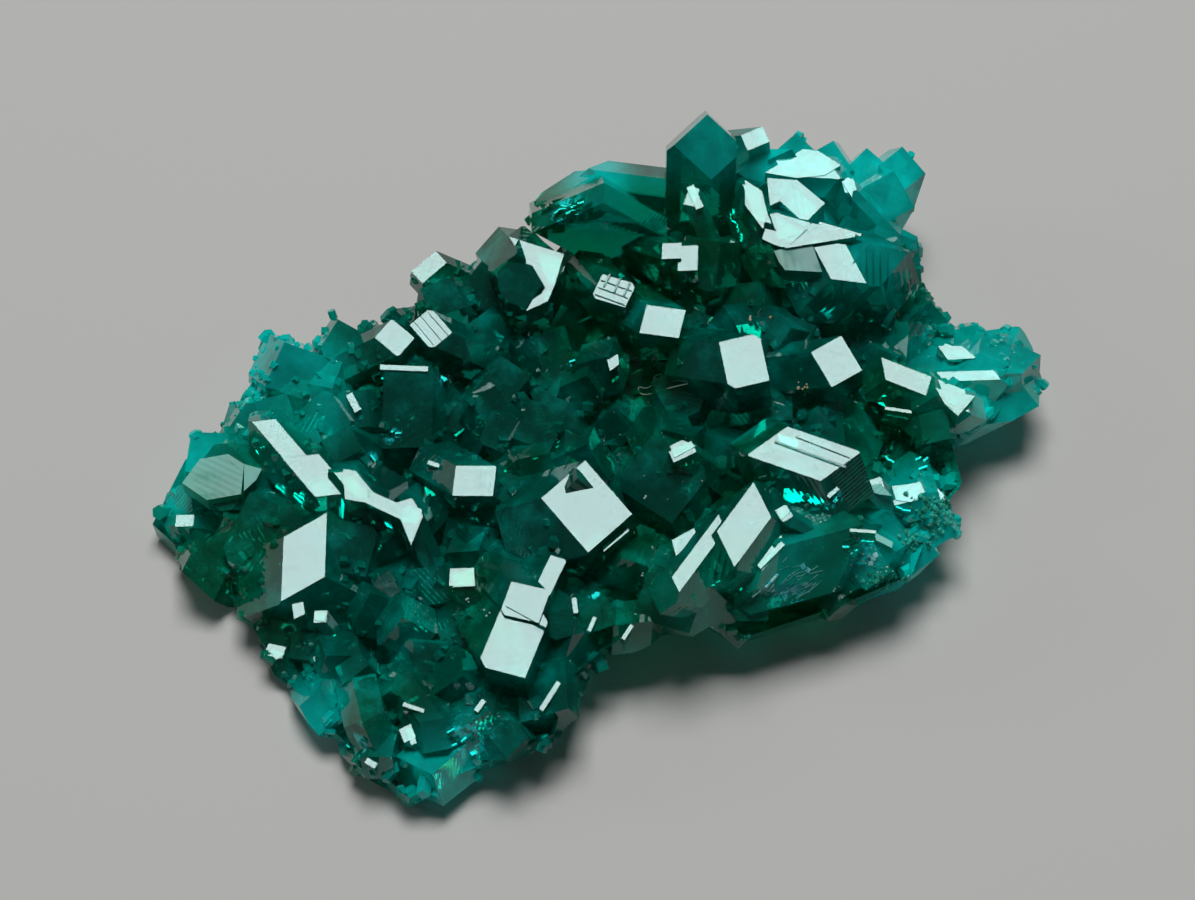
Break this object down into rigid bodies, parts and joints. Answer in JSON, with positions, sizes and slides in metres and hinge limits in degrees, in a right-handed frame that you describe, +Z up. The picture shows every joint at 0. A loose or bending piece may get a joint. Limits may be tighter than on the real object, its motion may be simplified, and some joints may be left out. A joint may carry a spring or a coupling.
{
  "type": "dioptase crystal cluster",
  "caption": "Irregular hand specimen of intergrown deep green dioptase crystals, stubby prisms with slanted end faces, thin and ragged at the edge, broken off flat beneath.",
  "frame": {"origin": "a point of the flat resting face, near its middle", "axes": "+Z up, square to the resting face; +X to the right along the cluster's longest extent and +Y away from the viewer, as seen from the front"},
  "size_m": [0.0505, 0.042, 0.0142],
  "materials": {
    "dioptase": "clear deep emerald-green crystal with a glassy lustre on its faces"
  },
  "bodies": {
    "root": {"dioptase_cluster": "dioptase"}
  },
  "joints": []
}
